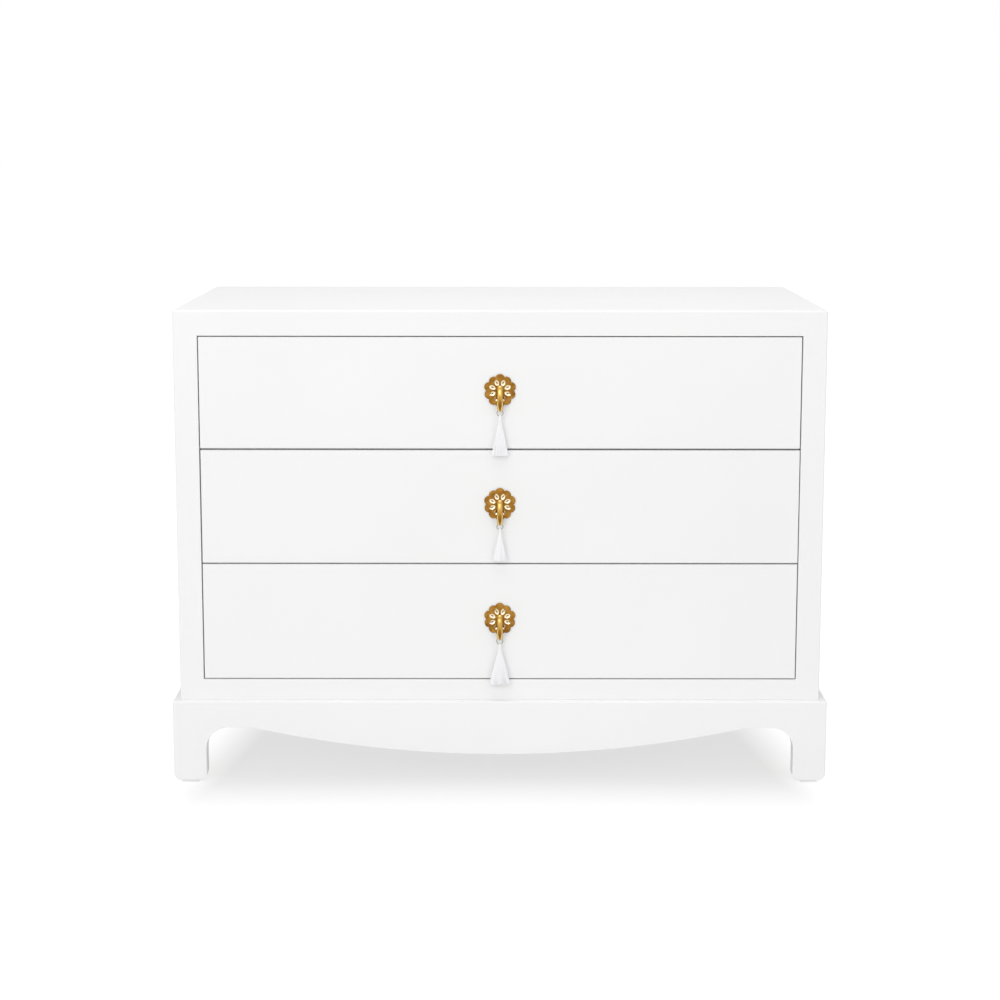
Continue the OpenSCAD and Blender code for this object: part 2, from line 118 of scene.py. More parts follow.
# The plate's lobes from its top down one side: the angle and how far each was filed in
LOBES = ((0, 0.0), (34.5, 1.3), (71.5, 0.5), (110, 1.1), (147, 0.4), (180, -0.3))
PLATE_T = 2.5
PETALS = 8
PETAL_MID = 15.1
PETAL = (12.4, 7.9)  # length and width, and those of the slot in its bottom
SLOT = (5.4, 1.9)
PETAL_SINK = 1.2
POST_UP = 6.2
POST_R = 2.5
PIN_OUT = 8.6
PIN_R = 1.25
BOW_OUT = -25.5008
BOW_UP = -14.9
BOW_R = 40.1
BAR_W = (11.6, 10.8)  # the drop's width at its cap and at its tip
BAR_HALF = 2.5
KNUCKLE = 4.6
TONGUE_LIP = 0.4
TONGUE_SINK = 0.8
CROWN = 0.8
HANG_OUT = 8.9076
EYE_UP = -34.7
RING_UP = -40.4
RING_MEAN_R = 5.7
WIRE_R = 0.8
WIRE_UP = RING_UP - RING_MEAN_R  # the lowest part of the ring's wire
TASSELS = {1: (73, 31), 2: (58, 27), 3: (77, 40)}  # length below the ring and width at the hem
TASSEL_D = 11.0
NECK_R = 2.6
NECK_LEN = 10.0
STRANDS = 420

# Tones of polished brass: a painted pale reflection on the lower front, a painted highlight down
# the crest, the body, a slightly darker back, and the tongue's patina with a painted dark
# reflection
PAINTED_LOWER_REFLECTION, PAINTED_CREST_HIGHLIGHT, BODY, BEHIND = 0.25, 0.3, 0.5, 0.6
PATINA_AND_DARK_REFLECTION = (0.75, 0.95)


def arc(x, y, r, start, end, steps):
    """Points of an arc in a drawing, with its angles in degrees."""
    out = []
    for k in range(steps + 1):
        a = radians(start + (end - start) * k / steps)
        out.append((x + r * cos(a), y + r * sin(a)))
    return out


def angles(count):
    """Evenly spaced angles of one turn, in radians."""
    return [2 * pi * k / count for k in range(count)]


def mix(a, b, t):
    return a + (b - a) * t


def ramp(t, start=0.0, width=1.0):
    """Eases from 0 to 1 while t runs from start over a width."""
    t = min(1.0, max(0.0, (t - start) / width))
    return t * t * (3 - 2 * t)


def near(a, b):
    return abs(a - b) < MM


def mm(*points):
    return [(a * MM, b * MM) for a, b in points]


class Build:
    """Gathers the faces of one piece. kind is a face's material, and tone a value per point."""

    def __init__(self):
        self.verts, self.faces, self.kinds, self.tones = [], [], [], []

    def points(self, points, tone=0.5):
        first = len(self.verts)
        self.verts.extend(points)
        self.tones.extend([tone] * len(points))
        return list(range(first, len(self.verts)))

    def face(self, indices, kind=0):
        self.faces.append(indices)
        self.kinds.append(kind)

    def bridge(self, a, b, kind=0, closed=True):
        for k in range(len(a) if closed else len(a) - 1):
            n = (k + 1) % len(a)
            self.face([a[k], a[n], b[n], b[k]], kind)

    def skin(self, rows, kind=0, closed=True):
        for a, b in zip(rows, rows[1:]):
            self.bridge(a, b, kind, closed)

    def loft(self, rings, kind=0, tone=0.5, loop=False):
        """Skins a row of rings, and joins its ends into a loop or closes each with a face."""
        rows = [self.points(ring, tone) for ring in rings]
        self.skin(rows, kind)
        if loop:
            self.bridge(rows[-1], rows[0], kind)
        else:
            self.face(rows[0][::-1], kind)
            self.face(rows[-1], kind)

    def tube(self, path, radius, sides, tone=0.5):
        rings, side = [], None
        last = len(path) - 1
        for k, p in enumerate(path):
            along = (path[min(k + 1, last)] - path[max(k - 1, 0)]).normalized()
            if side is None:
                side = along.orthogonal()
            side = (side - along * side.dot(along)).normalized()
            other = along.cross(side)
            rings.append([p + radius * (cos(t) * side + sin(t) * other)
                          for t in angles(sides)])
        self.loft(rings, tone=tone)

    def lathe(self, profile, turn, steps, loop=False):
        """Turns (radius, height) points round an axis; turn(x, y, h) gives a point's place."""
        self.loft([[turn(r * cos(a), r * sin(a), h) for a in angles(steps)]
                   for r, h in profile], loop=loop)

    def prism(self, points, axis, low, high):
        """Pushes a drawing through along X, Y or Z."""
        k = "XYZ".index(axis)
        self.loft([[Vector((*p[:k], w, *p[k:])) for p in points] for w in (low, high)])

    def mesh(self, name):
        mesh = bpy.data.meshes.new(name)
        mesh.from_pydata([tuple(v) for v in self.verts], [], self.faces)
        mesh.polygons.foreach_set("material_index", self.kinds)
        tone = mesh.attributes.new("tone", "FLOAT", "POINT")
        tone.data.foreach_set("value", self.tones)
        bm = bmesh.new()
        bm.from_mesh(mesh)
        bmesh.ops.remove_doubles(bm, verts=bm.verts, dist=WELD)
        bmesh.ops.dissolve_degenerate(bm, edges=bm.edges, dist=WELD / 2)
        bmesh.ops.recalc_face_normals(bm, faces=bm.faces)
        bm.to_mesh(mesh)
        bm.free()
        return mesh

    def object(self, name):
        return add_object(name, self.mesh(name))


def shade(obj, sharp=SHARP):
    """Smooths the shading, apart from edges at a larger angle."""
    bm = bmesh.new()
    bm.from_mesh(obj.data)
    for f in bm.faces:
        f.smooth = True
    for e in bm.edges:
        e.smooth = len(e.link_faces) == 2 and e.calc_face_angle(0) < radians(sharp)
    bm.to_mesh(obj.data)
    bm.free()


def add_object(name, data):
    obj = bpy.data.objects.new(name, data)
    bpy.context.scene.collection.objects.link(obj)
    return obj


def apply_modifiers(obj):
    view = bpy.context.evaluated_depsgraph_get()
    done = bpy.data.meshes.new_from_object(obj.evaluated_get(view))
    obj.modifiers.clear()
    old, obj.data = obj.data, done
    bpy.data.meshes.remove(old)


def prism_mesh(points, axis, low, high):
    build = Build()
    build.prism(points, axis, low, high)
    return build.mesh("prism")


def block_mesh(low, high):
    (x0, y0, z0), (x1, y1, z1) = low, high
    return prism_mesh([(x0, y0), (x1, y0), (x1, y1), (x0, y1)], "Z", z0, z1)


def carve(obj, cutters):
    """Cuts the cutters' shapes out of a piece."""
    for mesh in cutters:
        cutter = add_object("cutter", mesh)
        step = obj.modifiers.new("cut", "BOOLEAN")
        step.operation, step.solver, step.object = "DIFFERENCE", "EXACT", cutter
        apply_modifiers(obj)
        bpy.data.objects.remove(cutter)


def ease(obj, radius_of, segments=3, clamp=False):
    """Rounds the edges for which radius_of(middle, direction) gives a radius above zero."""
    bm = bmesh.new()
    bm.from_mesh(obj.data)
    bmesh.ops.remove_doubles(bm, verts=bm.verts, dist=WELD)
    bmesh.ops.dissolve_limit(bm, angle_limit=radians(0.05), verts=bm.verts, edges=bm.edges)
    layers = bm.edges.layers.float
    weights = layers.get("bevel_weight_edge") or layers.new("bevel_weight_edge")
    radii = {}
    for e in bm.edges:
        if len(e.link_faces) == 2 and e.calc_face_angle(0) > radians(SHARP):
            a, b = (v.co for v in e.verts)
            radii[e] = radius_of((a + b) / 2, (b - a).normalized())
    widest = max(radii.values())
    for e, radius in radii.items():
        e[weights] = radius / widest
    bm.to_mesh(obj.data)
    bm.free()
    step = obj.modifiers.new("ease", "BEVEL")
    step.limit_method, step.width, step.segments = "WEIGHT", widest, segments
    step.use_clamp_overlap = clamp
    apply_modifiers(obj)
    shade(obj)
    step = obj.modifiers.new("flat faces", "WEIGHTED_NORMAL")
    step.keep_sharp, step.weight = True, 100
    apply_modifiers(obj)


def finish_piece(obj, body, slot, materials, *nodes):
    """Gives a piece its materials and its body, and hides the nodes it stands for. Its slot is not
    used.
    """
    for material in materials:
        obj.data.materials.append(material)
    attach(obj, body)
    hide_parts(*nodes)


def finish_build(build, name, sharp, body, slot, materials, node):
    """Makes a piece of a build whose edges are crisp from an angle on."""
    obj = build.object(name)
    shade(obj, sharp)
    finish_piece(obj, body, slot, materials, node)


# Materials

class Tree:
    """An empty node tree, to be filled."""

    def __init__(self, tree):
        self.tree = tree
        tree.nodes.clear()

    def put(self, socket, value):
        """Links an input to another node's output, or sets its constant."""
        if isinstance(value, bpy.types.NodeSocket):
            self.tree.links.new(value, socket)
        else:
            socket.default_value = value

    def node(self, kind, **values):
        """A new node. Each value goes to the input of that name, or else to the node's setting."""
        made = self.tree.nodes.new(kind)
        for key, value in values.items():
            socket = made.inputs.get(key.replace("_", " "))
            if socket is not None:
                self.put(socket, value)
            else:
                setattr(made, key, value)
        return made

    def feed(self, made, *values):
        """Fills a node's first inputs, and gives its first output."""
        for socket, value in zip(made.inputs, values):
            self.put(socket, value)
        return made.outputs[0]

    def math(self, operation, a, b=0):
        return self.feed(self.node("ShaderNodeMath", operation=operation), a, b)

    def seen_or_not(self, unseen, seen):
        """One shader for camera, glossy and transmission rays, and another for all the rest."""
        ray = self.node("ShaderNodeLightPath").outputs
        direct = self.math("MAXIMUM", ray["Is Camera Ray"], ray["Is Glossy Ray"])
        direct = self.math("MAXIMUM", direct, ray["Is Transmission Ray"])
        return self.feed(self.node("ShaderNodeMixShader"), direct, unseen, seen)


class Shader(Tree):
    """One procedural material, whose patterns lie in the piece's own coordinates."""

    def __init__(self, name, **sockets):
        self.mat = bpy.data.materials.new(name)
        self.mat.use_nodes = True
        super().__init__(self.mat.node_tree)
        self.bsdf = self.node("ShaderNodeBsdfPrincipled", **sockets)
        self.out = self.node("ShaderNodeOutputMaterial", Surface=self.bsdf.outputs[0])
        self.place = self.node("ShaderNodeTexCoord").outputs["Object"]

    def stretch(self, scale):
        return self.node("ShaderNodeMapping", Scale=scale, Vector=self.place).outputs[0]

    def noise(self, scale, detail=2.0, place=None, distortion=0.0, roughness=0.5):
        return self.node("ShaderNodeTexNoise", Scale=scale, Detail=detail, Distortion=distortion,
                         Roughness=roughness, Vector=place or self.place).outputs[0]

    def tone(self):
        return self.node("ShaderNodeAttribute", attribute_name="tone").outputs["Fac"]

    def colours(self, source, *stops):
        made = self.node("ShaderNodeValToRGB")
        row = made.color_ramp.elements
        while len(row) < len(stops):
            row.new(0.5)
        for element, (position, colour) in zip(row, stops):
            element.position = position
            element.color = (*colour, 1)
        return self.feed(made, source)

    def clouds(self, scale, detail, low, high):
        """Clouds that run between two colours."""
        return self.colours(self.noise(scale, detail), (0.3, low), (0.7, high))

    def blend(self, share, a, b):
        made = self.node("ShaderNodeMix", data_type="RGBA")
        for place, value in ((0, share), (6, a), (7, b)):
            self.put(made.inputs[place], value)
        return made.outputs[2]

    def between(self, source, low, high, from_low=0.3, from_high=0.7):
        return self.node("ShaderNodeMapRange", From_Min=from_low, From_Max=from_high, To_Min=low,
                         To_Max=high, Value=source).outputs[0]

    def bump(self, height, strength, distance, **over):
        """Relief from a height, laid over another Normal if one is given."""
        return self.node("ShaderNodeBump", Strength=strength, Distance=distance, Height=height,
                         **over).outputs[0]

    def finish(self, colour, roughness, normal=None):
        for name, value in (("Base Color", colour), ("Roughness", roughness), ("Normal", normal)):
            if value is not None:
                self.put(self.bsdf.inputs[name], value)
        return self.mat


def lacquer():
    """Sprayed satin lacquer: a faint orange peel, and slow waves in its tone and gloss."""
    s = Shader("satin_lacquer", Specular_IOR_Level=0.38)
    peel = s.bump(s.noise(420, 2), 0.05, 0.25 * MM)
    return s.finish(s.clouds(2.6, 3, (0.872, 0.872, 0.87), (0.888, 0.888, 0.887)),
                    s.between(s.noise(9, 3), 0.40, 0.48),
                    s.bump(s.noise(16, 2), 0.05, 1.0 * MM, Normal=peel))


def timber(name, axis, pale, mid, dark):
    """Sealed sawn wood, with its grain along one axis."""
    s = Shader(name, Specular_IOR_Level=0.35)
    along = [1.0, 1.0, 1.0]
    along["XYZ".index(axis)] = 0.045
    rings = s.noise(38, 5, s.stretch(along), 0.6, 0.6)
    along["XYZ".index(axis)] = 0.02
    pores = s.noise(520, 3, s.stretch(along))
    body = s.colours(rings, (0.34, dark), (0.5, mid), (0.66, pale))
    lines = s.colours(pores, (0.36, tuple(0.72 * c for c in mid)), (0.5, pale))
    return s.finish(s.blend(s.between(s.noise(3, 1), 0.25, 0.4), body, lines),
                    s.between(pores, 0.62, 0.48), s.bump(pores, 0.18, 0.2 * MM))


def zinc(tint, rough):
    """Bright zinc plate, faintly mottled and brushed along the steel."""
    s = Shader("zinc_plate", Metallic=1.0)
    pale = tuple(1.12 * c for c in tint)
    brushed = s.noise(900, 2, s.stretch((1, 0.03, 1)))
    return s.finish(s.colours(s.noise(60, 3), (0.35, tint), (0.65, pale)),
                    s.between(brushed, rough - 0.05, rough + 0.08),
                    s.bump(brushed, 0.08, 0.05 * MM))


def aged_brass():
    """Cast brass, toned brown and a little mottled; tone darkens it, as on the plate's rounded rim.
    """
    s = Shader("aged_brass", Metallic=0.85)
    cloud = s.noise(95, 4, roughness=0.6)
    body = s.colours(cloud, (0.3, (0.215, 0.085, 0.008)), (0.5, (0.35, 0.160, 0.020)),
                     (0.7, (0.49, 0.265, 0.052)))
    rim = s.colours(cloud, (0.3, (0.19, 0.1, 0.018)), (0.7, (0.29, 0.16, 0.035)))
    return s.finish(s.blend(s.tone(), body, rim), s.between(s.noise(260, 3), 0.3, 0.46),
                    s.bump(s.noise(700, 3), 0.12, 0.1 * MM))


def bright_gold(name, pale, mid, deep):
    """Polished brass, coloured by its tone."""
    s = Shader(name, Metallic=0.92)
    stops = (0.0, pale), (0.5, mid), (1.0, deep)
    dimmed = [(position, tuple(0.84 * c for c in colour)) for position, colour in stops]
    clean, dull = s.colours(s.tone(), *stops), s.colours(s.tone(), *dimmed)
    return s.finish(s.blend(s.between(s.noise(160, 3), 0.0, 1.0), clean, dull),
                    s.between(s.noise(500, 2), 0.16, 0.27),
                    s.bump(s.noise(900, 2), 0.05, 0.05 * MM))


def slot_shade_paint():
    """Painted shade: a dark, faintly clouded colour for the bottom of slots and recesses, standing
    for the shadow in them.
    """
    s = Shader("slot_painted_shade", Metallic=0.3)
    return s.finish(s.clouds(800, 2, (0.085, 0.06, 0.035), (0.17, 0.125, 0.08)),
                    s.between(s.noise(600, 2), 0.5, 0.7))


def nickel():
    """Nickel plate, bright and faintly clouded."""
    s = Shader("bright_nickel", Metallic=1.0)
    return s.finish(s.clouds(300, 2, (0.29, 0.28, 0.23), (0.42, 0.41, 0.35)),
                    s.between(s.noise(900, 2), 0.14, 0.25))


def thread():
    """Lustrous viscose thread; tone gives each strand its own shade."""
    s = Shader("viscose_thread", Specular_IOR_Level=0.4, Sheen_Weight=0.25)
    fibre = s.noise(2600, 2, s.stretch((1, 1, 0.06)))
    shades = s.colours(s.tone(), (0.0, (0.84, 0.84, 0.86)), (1.0, (0.965, 0.965, 0.975)))
    lines = s.colours(fibre, (0.3, (0.90, 0.90, 0.915)), (0.7, (0.965, 0.965, 0.975)))
    return s.finish(s.blend(s.between(fibre, 0.35, 0.65), shades, lines),
                    s.between(fibre, 0.42, 0.58), s.bump(fibre, 0.25, 0.05 * MM))


def moulded():
    """White moulded plastic with a fine grain."""
    s = Shader("moulded_plastic", Specular_IOR_Level=0.4)
    return s.finish(s.clouds(120, 3, (0.64, 0.64, 0.63), (0.72, 0.72, 0.71)),
                    s.between(s.noise(500, 2), 0.5, 0.62),
                    s.bump(s.noise(1500, 2), 0.15, 0.05 * MM))


LACQUER = lacquer()
PALE_WOOD = {a: timber("birch_" + a.lower(), a, (0.74, 0.585, 0.40), (0.66, 0.49, 0.31),
                       (0.55, 0.385, 0.225)) for a in "XYZ"}
STEEL = zinc((0.56, 0.57, 0.59), 0.34)
BRASS = aged_brass()
GOLD = bright_gold("polished_brass", (0.98, 0.80, 0.40), (0.545, 0.30, 0.05), (0.23, 0.09, 0.003))
PETAL_GOLD = bright_gold("polished_petals", (1.0, 0.86, 0.63), (0.62, 0.40, 0.16),
                         (0.40, 0.24, 0.08))
SLOT_SHADE = slot_shade_paint()
NICKEL = nickel()
THREAD = thread()
PLASTIC = moulded()


# Case

def case_shell():
    """The shell: top, sides and bottom in one, with a rebate for the back. It is lacquered outside
    and for a few millimetres inside its front, and bare wood behind that."""
    y0, y1 = FRONT_Y, BACK_Y
    outer = (CASE_X, CASE_LOW, CASE_HIGH)
    inner = (OPEN_X, OPEN_LOW, OPEN_HIGH)
    rebate = (OPEN_X + REBATE_W, OPEN_LOW - REBATE_W, OPEN_HIGH + REBATE_W)
    rings = []
    for (x, low, high), y in ((outer, y0), (outer, y1), (rebate, y1), (rebate, REBATE_Y),
                              (inner, REBATE_Y), (inner, y0 + PAINT_TURN), (inner, y0)):
        rings.append([Vector(p) for p in ((-x, y, low), (x, y, low), (x, y, high), (-x, y, high))])
    build = Build()
    build.loft(rings, loop=True)
    bare = range(4 * 2, 4 * 5)  # four faces between each two rings, from the rebate inward
    for k in bare:
        build.kinds[k] = 1 + k % 2
    obj = build.object("case_shell")

    def radius_of(p, d):
        if near(p.z, CASE_LOW):
            return 0.6 * MM
        outside = near(abs(p.x), CASE_X) or near(p.z, CASE_HIGH)
        return 3 * MM if outside and p.y < y1 - MM else 1.0 * MM

    ease(obj, radius_of, 4)
    finish_piece(obj, "case", "lacquer", [LACQUER, PALE_WOOD["X"], PALE_WOOD["Z"]],
                 "top_panel", "side_panel_left", "side_panel_right", "bottom_panel")


def eased_block(name, node, body, slot, material, radius):
    """A board in a node's place, with soft edges."""
    obj = add_object(name, block_mesh(*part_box(node)))
    ease(obj, lambda p, d: radius)
    finish_piece(obj, body, slot, [material], node)


def opening_side(half, low, corner):
    """One side of an opening between two feet, up to the end of its arch. The foot's lower corner
    has a radius of corner, or none."""
    side = [(half + corner, low - CUT)]
    if corner:
        side += arc(half + corner, low + corner, corner, 270, 180, 8)
    return side + arc(half - ARCH_R, ARCH_TOP - ARCH_R, ARCH_R, 0, 90, 24)


def front_opening():
    """The opening under the front board, with the apron's curve between its arches."""
    apron_r = (APRON_HALF ** 2 + APRON_DROP ** 2) / (2 * APRON_DROP)
    reach = degrees(asin(APRON_HALF / apron_r))
    right = opening_side(BASE_X - FOOT_W, BASE_LOW, FOOT_R)
    right += arc(0, ARCH_TOP - APRON_DROP + apron_r, apron_r, 270 + reach, 270, 48)
    return right + [(-x, z) for x, z in right[-2::-1]]


def plain_opening(half, low, corner):
    """An opening with a straight upper edge."""
    right = opening_side(half, low, corner)
    return right + [(-x, z) for x, z in right[::-1]]


def corner_notch(side, x, low):
    """What a round lower corner leaves off, at the outer end of a foot."""
    ring = arc(x - FOOT_R, low + FOOT_R, FOOT_R, -90, 0, 8)
    ring += [(x + CUT, low + FOOT_R), (x + CUT, low - CUT), (x - FOOT_R, low - CUT)]
    return [(side * a, z) for a, z in ring]


def base_shell():
    """Front and sides of the bracket base in one, mitred without a seam."""
    x, inner = BASE_X, BASE_X - BOARD
    y0, y1 = BASE_Y, BACK_Y
    plan = [(-x, y1), (-x, y0), (x, y0), (x, y1), (inner, y1), (inner, y0 + BOARD),
            (-inner, y0 + BOARD), (-inner, y1)]
    obj = add_object("base_shell", prism_mesh(plan, "Z", BASE_LOW, CASE_LOW))

    def outer_radius(p, d):
        side, front = near(abs(p.x), x), near(p.y, y0)
        if side and front:
            return 3 * MM
        return 2 * MM if near(p.z, CASE_LOW) and (side or front) else 0

    ease(obj, outer_radius, 4)
    mid = (y0 + y1) / 2
    half = (y1 - y0) / 2
    side = [(mid + y, z) for y, z in plain_opening(half - FOOT_W, BASE_LOW, FOOT_R)]
    rear = [(mid + y, z) for y, z in corner_notch(1, half, BASE_LOW)]
    carve(obj, [
        prism_mesh(front_opening(), "Y", y0 - CUT, y0 + BOARD + CUT),
        prism_mesh(side, "X", -x - CUT, x + CUT), prism_mesh(rear, "X", -x - CUT, x + CUT),
        prism_mesh(corner_notch(1, x, BASE_LOW), "Y", y0 - CUT, y1 + CUT),
        prism_mesh(corner_notch(-1, x, BASE_LOW), "Y", y0 - CUT, y1 + CUT),
    ])

    def cut_radius(p, d):
        seam = abs(p.x) < inner + MM and near(p.y, y0 + BOARD) and abs(d.z) > 0.999
        return 0 if seam or p.z > CASE_LOW - 0.1 * MM else 1 * MM

    ease(obj, cut_radius, 3, clamp=True)
    finish_piece(obj, "case", "lacquer", [LACQUER], "base_front", "base_left", "base_right")


def base_back():
    """The board across the back of the base, sawn out between its feet."""
    low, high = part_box("base_back")
    obj = add_object("base_rear_board", block_mesh(low, high))
    carve(obj, [prism_mesh(plain_opening(BASE_X - FOOT_W, low.z, 0), "Y", low.y - CUT,
                           high.y + CUT)])
    ease(obj, lambda p, d: 1 * MM)
    finish_piece(obj, "case", "raw_wood", [PALE_WOOD["X"]], "base_back")


def corner_blocks():
    """Glue blocks behind the four corners of the base, with a planed slope on their free edge."""
    low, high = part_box("corner_blocks")
    size = 30 * MM
    short = size - 8 * MM
    build = Build()
    for sx in (-1, 1):
        for y, sy in ((low.y, 1), (high.y, -1)):
            x = sx * high.x
            ring = [(x, y), (x - sx * size, y), (x - sx * size, y + sy * short),
                    (x - sx * short, y + sy * size), (x, y + sy * size)]
            build.prism(ring, "Z", low.z, high.z)
    obj = build.object("glue_blocks")
    ease(obj, lambda p, d: 0.8 * MM, 2)
    finish_piece(obj, "case", "raw_wood", [PALE_WOOD["Z"]], "corner_blocks")


def foot_glides():
    """Nail-on glides: a plastic disc under each foot, dished round its nail."""
    low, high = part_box("glides")
    r = 17 * MM
    thick = high.z - low.z
    profile = [(0, thick), (r - 0.3 * MM, thick), (r, thick - 0.3 * MM)]
    profile += mm((17, 1.2), (16.5, 0.4), (15.6, 0), (4.5, 0), (4, 0.5), (3.2, 1.1), (2.6, 0.9),
                  (0, 0.7))
    build = Build()
    for x in (r - high.x, high.x - r):
        for y in (low.y + r, high.y - r):
            build.lathe(profile, lambda a, b, h: Vector((x + a, y + b, h)), steps=48)
    finish_build(build, "foot_glides", 25, "case", "glide", [PLASTIC], "glides")


def back_screws():
    """Countersunk screws, whose crowns stand a little above the back panel. A dark inlay, painted
    shade, stands for the shadowed cross recess."""
    askew = 0.4
    profile = mm((0, 0.25), (3, 0.12), (3.4, -0.15), (1.8, -2), (1.5, -20), (0, -22))
    build = Build()
    for x, z in screw_places():
        build.lathe(profile, lambda a, b, h: Vector((x + a, BACK_Y + h, z + b)), steps=20)
        for turn in (askew, pi / 2 + askew):
            c, s = cos(turn), sin(turn)
            ring = [(x + (a * c - b * s) * MM, z + (a * s + b * c) * MM)
                    for a, b in ((-2, -0.35), (2, -0.35), (2, 0.35), (-2, 0.35))]
            top = [Vector((a, BACK_Y + 0.27 * MM, b)) for a, b in ring]
            end = [Vector((mix(a, x, 0.6), BACK_Y - 0.9 * MM, mix(b, z, 0.6))) for a, b in ring]
            build.loft([top, end], kind=1)
    finish_build(build, "panel_screws", 25, "case", "steel", [STEEL, SLOT_SHADE], "back_screws")


def screw_places():
    """Four screws along each edge of the back panel, in the middle of its rebate."""
    reach = OPEN_X + REBATE_W / 2
    low, high = OPEN_LOW - REBATE_W / 2, OPEN_HIGH + REBATE_W / 2
    out = []
    for part in (0.125, 0.375, 0.625, 0.875):
        out += [(side * reach, mix(low, high, part)) for side in (-1, 1)]
        out += [(mix(-reach, reach, part), level) for level in (low, high)]
    return out


# Drawers

def drawer_front(i):
    """A front, with stopped grooves behind for its box and a hole for the pull's post."""
    low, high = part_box(f"drawer_front_{i}")
    hung, top_r, low_r, planed_top, planed_low = FRONTS[i]
    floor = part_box(f"box_floor_{i}")
    post_low, post_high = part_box(f"pull_post_{i}")
    obj = add_object(f"drawer_face_{i}", block_mesh(
        low + Vector((hung, 0, planed_low)) * MM, high + Vector((hung, 0, -planed_top)) * MM))
    hole = arc(0, (post_low.z + post_high.z) / 2, 2.7 * MM, 0, 360, 32)[:-1]
    sides = [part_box(f"box_{side}_{i}") for side in ("left", "right")]
    carve(obj, [block_mesh(a, (b.x, high.y + CUT, b.z)) for a, b in sides] + [
        block_mesh(floor[0] - Vector((BOTTOM_PLAY,) * 3) * MM,
                   (floor[1].x + BOTTOM_PLAY * MM, high.y + CUT, floor[1].z + BOTTOM_PLAY * MM)),
        prism_mesh(hole, "Y", low.y - CUT, high.y + CUT),
    ])

    def radius_of(p, d):
        if p.y > high.y - MM:
            return 0.3 * MM
        if near(p.z, high.z):
            return top_r * MM
        if near(p.z, low.z):
            return low_r * MM
        return 1.2 * MM if near(abs(p.x), high.x) else 0.3 * MM

    ease(obj, radius_of)
    finish_piece(obj, f"drawer_{i}", "lacquer", [LACQUER], f"drawer_front_{i}")


def box_side(i, side):
    """A box side: grooved for the bottom, with a rounded upper edge."""
    node = f"box_{side}_{i}"
    low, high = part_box(node)
    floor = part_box(f"box_floor_{i}")
    s, inner, outer = (1, low.x, high.x) if side == "right" else (-1, -high.x, -low.x)
    r = 3 * MM
    groove = (inner + outer) / 2
    top, bottom = floor[1].z + BOTTOM_PLAY * MM, floor[0].z - BOTTOM_PLAY * MM
    ring = [(outer, low.z), *arc(outer - r, high.z - r, r, 0, 90, 6),
            *arc(inner + r, high.z - r, r, 90, 180, 6), (inner, top), (groove, top),
            (groove, bottom), (inner, bottom), (inner, low.z)]
    obj = add_object(f"box_wall_{side}_{i}",
                     prism_mesh([(s * x, z) for x, z in ring], "Y", low.y, high.y))
    ease(obj, lambda p, d: 0.5 * MM, 2)
    finish_piece(obj, f"drawer_{i}", "raw_wood", [PALE_WOOD["Y"]], node)


def channel_ring(web, lips, middle, half):
    """Outline of a rolled channel, from its web at x = web to its lips, with bent corners."""
    s = 1 if lips > web else -1
    bend = 2.2 * MM

    def corners(r):
        return [[(web + s * (bend + r * a), middle + z * (half - bend) + r * b)
                 for a, b in arc(0, 0, 1, start, end, 5)]
                for z, start, end in ((1, 180, 90), (-1, 270, 180))]

    (top_out, low_out), (top_in, low_in) = corners(bend), corners(bend - SLIDE_T)
    return [(lips, middle + half - SLIDE_T), (lips, middle + half), *top_out[::-1],
            *low_out[::-1], (lips, middle - half), (lips, middle - half + SLIDE_T), *low_in,
            *top_in]


def slides(i):
    """The three members of a drawer's two telescopic slides. The drawer's member is screwed on
    with pan heads, and the others have pressed marks on their webs."""
    pan = mm((3.4, 0), (3.4, 0.5), (3, 1), (2.1, 1.4), (0.9, 1.5), (0.6, 0.7), (0, 0.6))
    press = mm((3.2, 0), (3, 0.18), (0, 0.18))
    for kind, body in (("case", "case"), ("middle", f"slide_{i}"), ("drawer", f"drawer_{i}")):
        node = f"{kind}_slides_{i}"
        low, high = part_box(node)
        middle = (low.z + high.z) / 2
        half = (high.z - low.z) / 2
        web, lips = high.x, min(abs(v.co.x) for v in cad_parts[node].data.vertices)
        marks, parts, steps, way = press, (0.12, 0.5, 0.88), 16, -1
        if kind == "drawer":
            web, lips = lips, web
            marks, parts, steps, way = pan, (0.06, 0.33, 0.64, 0.95), 20, 1
        build = Build()
        for s in (-1, 1):
            ring = [(s * x, z) for x, z in channel_ring(web, lips, middle, half)]
            build.prism(ring, "Y", low.y, high.y)
            for part in parts:
                y = mix(low.y, high.y, part)
                build.lathe(marks, lambda a, b, h: Vector(
                    (s * (web + way * SLIDE_T + way * h), y + a, middle + b)), steps)
        finish_build(build, f"{kind}_rail_{i}", 35, body, "steel", [STEEL], node)


# Pulls, drawn around the plate's centre: x to the right, out from the drawer face, and up

def pull_place(i):
    """The centre of a plate, on the drawer face. The pieces of the pull get it as o."""
    low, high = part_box(f"pull_plate_{i}")
    return Vector((0, FRONT_Y, (low.z + high.z) / 2))


def at(origin, x, out, up):
    return origin + Vector((x * MM, -out * MM, up * MM))


def drawn(origin, shape, out):
    """The points of a drawing seen from the front, at a distance from the drawer face."""
    return [at(origin, x, out, up) for x, up in shape]


def lobed(inset):
    """The plate's outline, moved inward by inset."""
    steps = 10  # from a lobe's middle to the notch beside it
    half = [(radians(turn), PLATE_R - LOBE_R - filed) for turn, filed in LOBES]
    lobes = half + [(2 * pi - turn, mid) for turn, mid in half[-2::-1]]

    def reach(lobe, a):
        turn, mid = lobe
        across = mid * sin(a - turn)
        return mid * cos(a - turn) + sqrt(max(0.0, (LOBE_R - inset) ** 2 - across ** 2))

    out = []
    for one, other in zip(lobes, lobes[1:]):
        low, high = one[0], other[0]
        for _ in range(40):
            notch = (low + high) / 2
            if reach(one, notch) > reach(other, notch):
                low = notch
            else:
                high = notch
        for lobe, start, end in ((one, one[0], notch), (other, notch, other[0])):
            for step in range(steps):
                a = mix(start, end, step / steps)
                r = reach(lobe, a)
                out.append((r * sin(a), r * cos(a)))
    return out


